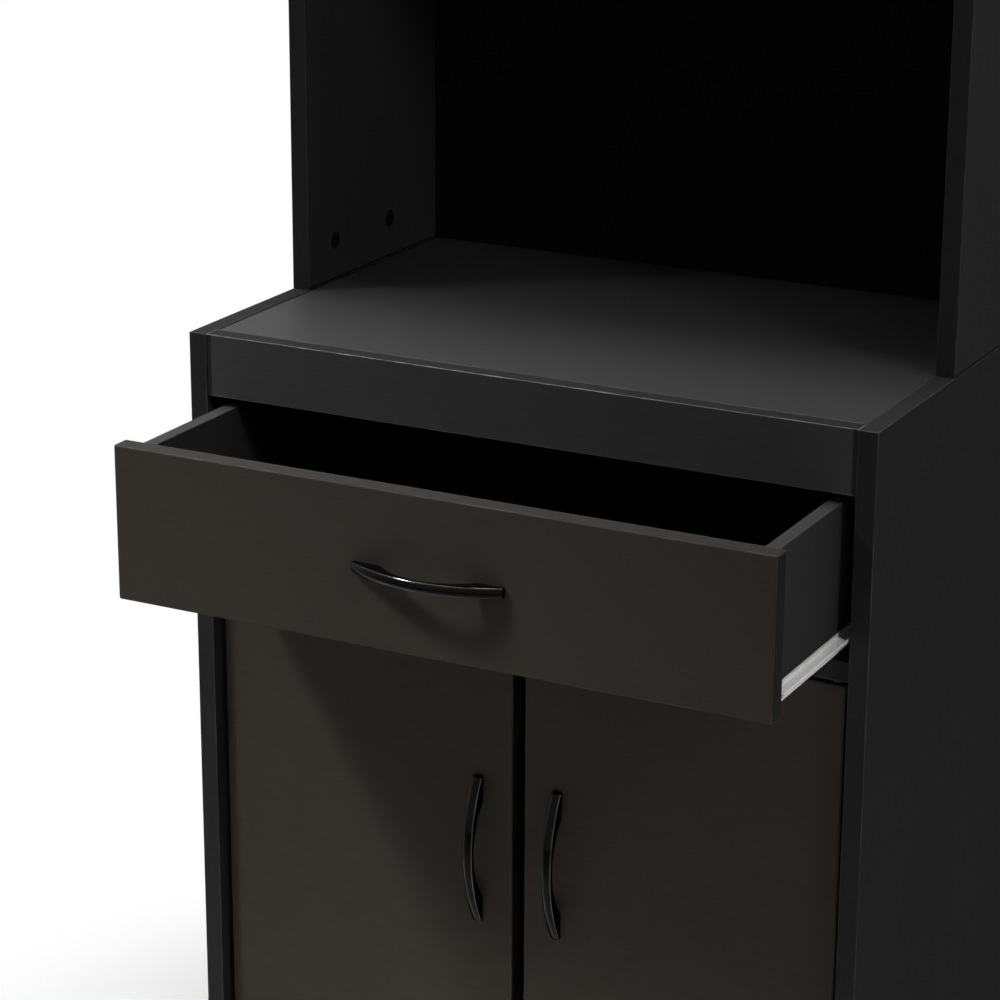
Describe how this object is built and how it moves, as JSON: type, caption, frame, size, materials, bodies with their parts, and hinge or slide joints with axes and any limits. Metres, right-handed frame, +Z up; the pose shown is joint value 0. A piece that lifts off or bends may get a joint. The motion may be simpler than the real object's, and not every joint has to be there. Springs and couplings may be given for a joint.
{
  "type": "microwave stand",
  "caption": "Kitchen stand with a two-door cupboard, a drawer on roller slides, a counter for a microwave and an open hutch set back over it.",
  "frame": {"origin": "on the floor, under the middle of the stand's whole box as stored, with the drawer pulled out and the doors shut", "axes": "+X to the right of someone facing the front, +Y from front to back, +Z up"},
  "size_m": [0.6, 0.5624, 1.2],
  "materials": {
    "carcass_laminate": "near-black fine-grained laminate on chipboard, matt",
    "front_laminate": "dark brown-black laminate on chipboard, satin",
    "drawer_laminate": "near-black foil on thin chipboard, matt",
    "hardboard": "thin hardboard, dark printed face",
    "white_enamel": "cream-white epoxy-coated pressed steel",
    "white_nylon": "natural nylon, moulded",
    "dark_plastic": "moulded dark plastic, matt",
    "dark_chrome": "dark polished metal, glossy",
    "beech": "plain fluted beech",
    "black_cams": "black-coated zinc alloy, slotted",
    "zinc_steel": "zinc-plated steel and zinc alloy"
  },
  "bodies": {
    "cabinet": {"side_left": "carcass_laminate", "side_right": "carcass_laminate", "counter_top": "carcass_laminate", "front_apron": "carcass_laminate", "divider_shelf": "carcass_laminate", "cupboard_shelf": "carcass_laminate", "bottom_panel": "carcass_laminate", "plinth_board": "carcass_laminate", "lower_back_panel": "hardboard", "hutch_side_left": "carcass_laminate", "hutch_side_right": "carcass_laminate", "hutch_top": "carcass_laminate", "hutch_back_panel": "hardboard", "cam_locks": "black_cams", "cam_bolts": "zinc_steel", "dowels": "beech", "back_nails": "zinc_steel", "floor_glides": "dark_plastic", "shelf_pins": "dark_plastic", "rail_left": "white_enamel", "rail_right": "white_enamel", "rail_screws": "zinc_steel", "pivot_bushes": "dark_plastic", "door_catches": "dark_plastic", "catch_screws": "zinc_steel"},
    "drawer": {"drawer_front": "front_laminate", "drawer_side_left": "drawer_laminate", "drawer_side_right": "drawer_laminate", "drawer_back": "drawer_laminate", "drawer_bottom": "hardboard", "runner_left": "white_enamel", "runner_right": "white_enamel", "runner_screws": "zinc_steel", "drawer_cam_locks": "black_cams", "drawer_cam_bolts": "zinc_steel", "drawer_dowels": "beech", "drawer_back_screws": "zinc_steel", "drawer_handle": "dark_chrome", "drawer_handle_screws": "zinc_steel"},
    "door_left": {"door_left": "front_laminate", "door_handle_left": "dark_chrome", "door_handle_screws_left": "zinc_steel", "pivot_pins_left": "zinc_steel", "pivot_washer_left": "dark_plastic", "strike_plate_left": "zinc_steel", "strike_rivet_left": "zinc_steel"},
    "door_right": {"door_right": "front_laminate", "door_handle_right": "dark_chrome", "door_handle_screws_right": "zinc_steel", "pivot_pins_right": "zinc_steel", "pivot_washer_right": "dark_plastic", "strike_plate_right": "zinc_steel", "strike_rivet_right": "zinc_steel"},
    "rail_roller_left": {"rail_roller_left": "white_nylon"},
    "runner_roller_left": {"runner_roller_left": "white_nylon"},
    "rail_roller_right": {"rail_roller_right": "white_nylon"},
    "runner_roller_right": {"runner_roller_right": "white_nylon"}
  },
  "joints": [
    {"name": "drawer_slide", "type": "slide", "parent": "cabinet", "child": "drawer", "axis": [0, -1, 0], "range_m": [-0.15, 0.112]},
    {"name": "door_hinge_left", "type": "hinge", "parent": "cabinet", "child": "door_left", "pos_m": [-0.269, -0.10125, 0.32625], "axis": [0, 0, -1], "range_deg": [0, 105]},
    {"name": "door_hinge_right", "type": "hinge", "parent": "cabinet", "child": "door_right", "pos_m": [0.269, -0.10125, 0.32625], "axis": [0, 0, 1], "range_deg": [0, 105]},
    {"name": "rail_roller_spin_left", "type": "hinge", "parent": "cabinet", "child": "rail_roller_left", "pos_m": [-0.27925, -0.08025, 0.60485], "axis": [1, 0, 0], "range_deg": [-1182, 884]},
    {"name": "runner_roller_spin_left", "type": "hinge", "parent": "drawer", "child": "runner_roller_left", "pos_m": [-0.27725, 0.09675, 0.6037], "axis": [1, 0, 0], "range_deg": [-1327, 992]},
    {"name": "rail_roller_spin_right", "type": "hinge", "parent": "cabinet", "child": "rail_roller_right", "pos_m": [0.27925, -0.08025, 0.60485], "axis": [1, 0, 0], "range_deg": [-1182, 884]},
    {"name": "runner_roller_spin_right", "type": "hinge", "parent": "drawer", "child": "runner_roller_right", "pos_m": [0.27725, 0.09675, 0.6037], "axis": [1, 0, 0], "range_deg": [-1327, 992]}
  ],
  "couplings": [
    {"joint": "rail_roller_spin_left", "follows": "drawer_slide", "rad_per_m": 136.99},
    {"joint": "runner_roller_spin_left", "follows": "drawer_slide", "rad_per_m": 153.85},
    {"joint": "rail_roller_spin_right", "follows": "drawer_slide", "rad_per_m": 136.99},
    {"joint": "runner_roller_spin_right", "follows": "drawer_slide", "rad_per_m": 153.85}
  ]
}
